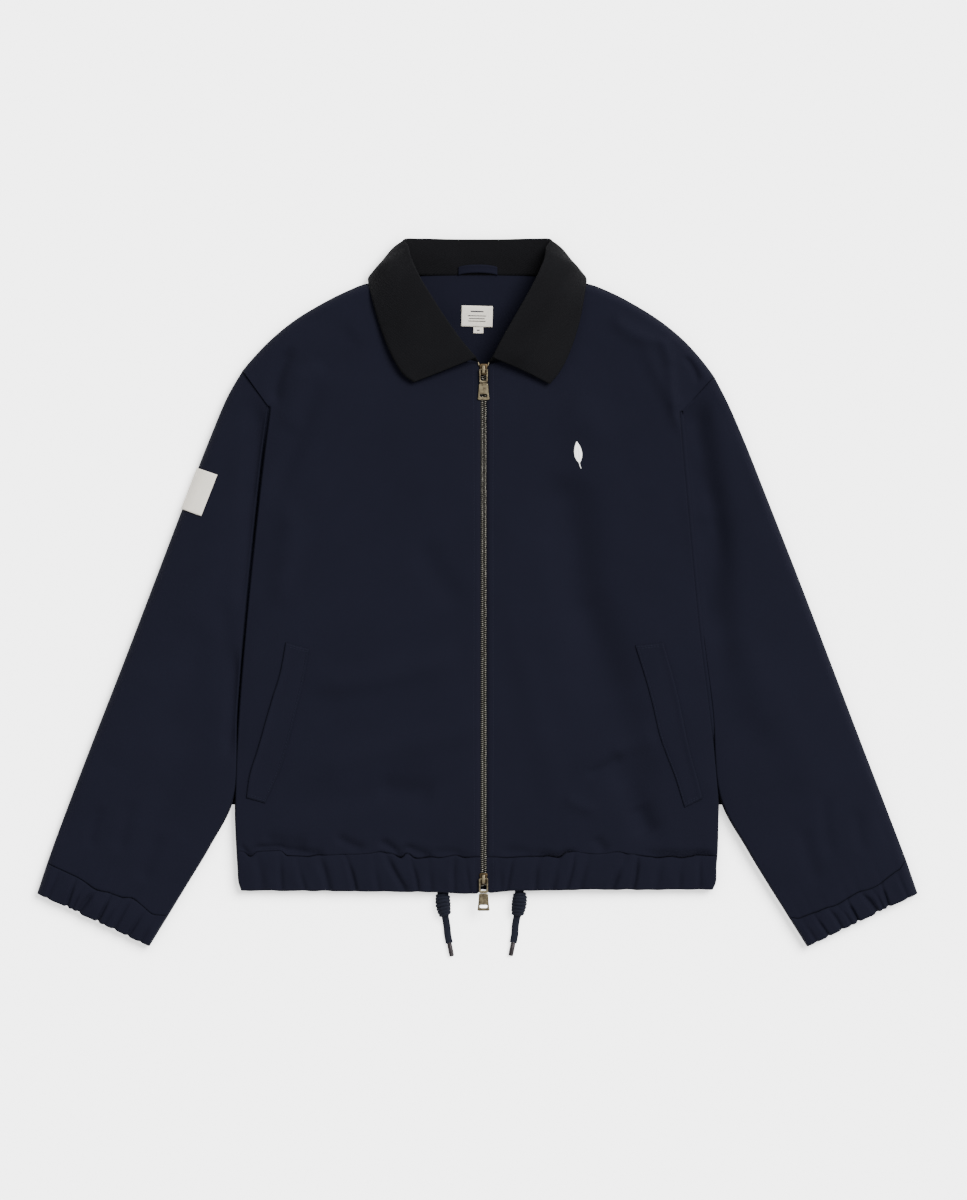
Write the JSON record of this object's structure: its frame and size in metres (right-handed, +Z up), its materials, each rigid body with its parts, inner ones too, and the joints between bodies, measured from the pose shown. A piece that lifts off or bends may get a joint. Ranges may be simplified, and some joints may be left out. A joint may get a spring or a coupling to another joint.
{
  "type": "zip jacket",
  "caption": "Navy canvas zip jacket with a corduroy collar, slanted pockets and hem drawcords, laid out flat on its back",
  "frame": {"origin": "on the surface the jacket lies on, under the middle of its outline seen from above, drawcords left out", "axes": "+X towards the wearer's left sleeve, +Y from the hem to the collar, +Z up from the surface, out of the front"},
  "size_m": [1.0104, 0.8259, 0.0435],
  "materials": {
    "canvas": "navy cotton canvas, matt, plain weave",
    "corduroy": "black fine-wale corduroy, matt",
    "tape": "dark woven zip tape",
    "brass": "antique brass, lightly worn",
    "label": "cream woven label, blank",
    "cord": "navy braided cord",
    "steel": "dark nickel-plated metal cord ends"
  },
  "bodies": {
    "jacket": {"back": "canvas", "front_right": "canvas", "front_left": "canvas", "hem_front_right": "canvas", "hem_front_left": "canvas", "hem_back": "canvas", "sleeve_right_upper": "canvas", "sleeve_right_under": "canvas", "sleeve_right_outer_fold": "canvas", "sleeve_right_inner_fold": "canvas", "sleeve_left_upper": "canvas", "sleeve_left_under": "canvas", "sleeve_left_outer_fold": "canvas", "sleeve_left_inner_fold": "canvas", "cuff_right": "canvas", "cuff_left": "canvas", "welt_right": "canvas", "welt_left": "canvas", "hanger_loop": "canvas", "collar": "corduroy", "zip_tape_right": "tape", "zip_tape_left": "tape", "zip_chain": "brass", "slider_top": "brass", "slider_bottom": "brass", "neck_label": "label", "size_tab": "label", "sleeve_label": "label", "drawcord_right": "cord", "drawcord_left": "cord", "knot_right": "cord", "knot_left": "cord", "aglet_right": "steel", "aglet_left": "steel"},
    "pull_top": {"pull_top": "brass"},
    "pull_bottom": {"pull_bottom": "brass"}
  },
  "joints": [
    {"name": "pull_top_hinge", "type": "hinge", "parent": "jacket", "child": "pull_top", "pos_m": [0.00675, 0.25448, 0.02655], "axis": [-1, 0, 0], "range_deg": [0, 150]},
    {"name": "pull_bottom_hinge", "type": "hinge", "parent": "jacket", "child": "pull_bottom", "pos_m": [0.00675, -0.33002, 0.02166], "axis": [-1, 0, 0], "range_deg": [0, 150]}
  ]
}
